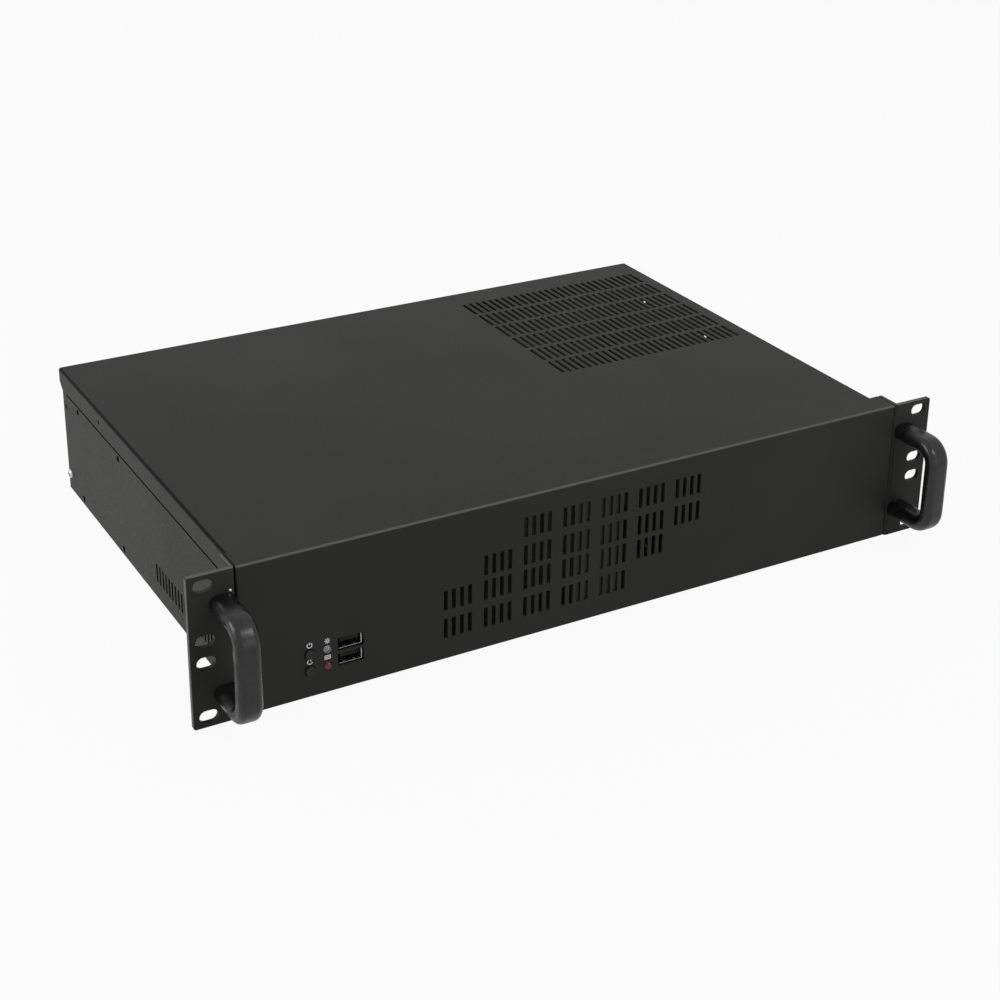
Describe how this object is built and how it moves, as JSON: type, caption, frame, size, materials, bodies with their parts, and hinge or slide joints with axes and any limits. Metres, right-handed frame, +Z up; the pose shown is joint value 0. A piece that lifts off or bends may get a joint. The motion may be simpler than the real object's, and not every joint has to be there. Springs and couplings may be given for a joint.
{
  "type": "empty rackmount server case",
  "caption": "Flat black steel rack case with bridge handles on its ears, a stepped front grille, push buttons, sockets, a vented slide-off cover and an open back for a board and power supply.",
  "frame": {"origin": "centre of the pattern of rack slots, on the rear face of the ears that meets the rack", "axes": "+X to the right as the front is faced, +Y backwards into the rack, +Z up"},
  "size_m": [0.4826, 0.3455, 0.0888],
  "materials": {
    "case_paint": "fine textured powder coat, matt",
    "handle_paint": "smooth black coat, semi-gloss",
    "plated_steel": "bright zinc plate",
    "black_steel": "black oxide, satin",
    "brass": "turned, bright",
    "socket_metal": "nickel plate",
    "socket_plastic": "moulded, satin",
    "button_plastic": "moulded, satin",
    "switch_plastic": "moulded, matt",
    "lamp_clear": "clear moulded, gloss",
    "lamp_red": "tinted moulded, gloss",
    "board_laminate": "solder mask, gloss"
  },
  "bodies": {
    "chassis": {"chassis_pan": "case_paint", "front_wall": "case_paint", "rear_panel": "case_paint", "front_panel": "case_paint", "left_ear": "case_paint", "right_ear": "case_paint", "left_handle": "handle_paint", "right_handle": "handle_paint", "handle_screws": "plated_steel", "ear_screws": "black_steel", "ear_clinch_nuts": "plated_steel", "rear_panel_screws": "plated_steel", "power_switch": "switch_plastic", "reset_switch": "switch_plastic", "power_led": "lamp_clear", "drive_led": "lamp_red", "led_spacers": "switch_plastic", "upper_usb_shell": "socket_metal", "lower_usb_shell": "socket_metal", "upper_usb_tongue": "socket_plastic", "lower_usb_tongue": "socket_plastic", "front_io_board": "board_laminate", "io_board_spacers": "plated_steel", "io_board_screws": "plated_steel", "board_standoffs": "brass", "slot_blank_1": "case_paint", "slot_blank_2": "case_paint", "slot_blank_3": "case_paint", "slot_blank_4": "case_paint", "slot_blank_screws": "plated_steel", "drive_tray": "case_paint", "drive_tray_screws": "plated_steel"},
    "cover": {"top_cover": "case_paint", "cover_screws": "plated_steel"},
    "power_button": {"power_button": "button_plastic"},
    "reset_button": {"reset_button": "button_plastic"}
  },
  "joints": [
    {"name": "cover_slide", "type": "slide", "parent": "chassis", "child": "cover", "axis": [0, 1, 0], "range_m": [0, 0.31]},
    {"name": "power_button_press", "type": "slide", "parent": "chassis", "child": "power_button", "axis": [0, 1, 0], "range_m": [0, 0.001], "stiffness_N_per_m": 400, "springref_m": -0.002},
    {"name": "reset_button_press", "type": "slide", "parent": "chassis", "child": "reset_button", "axis": [0, 1, 0], "range_m": [0, 0.001], "stiffness_N_per_m": 400, "springref_m": -0.002}
  ]
}
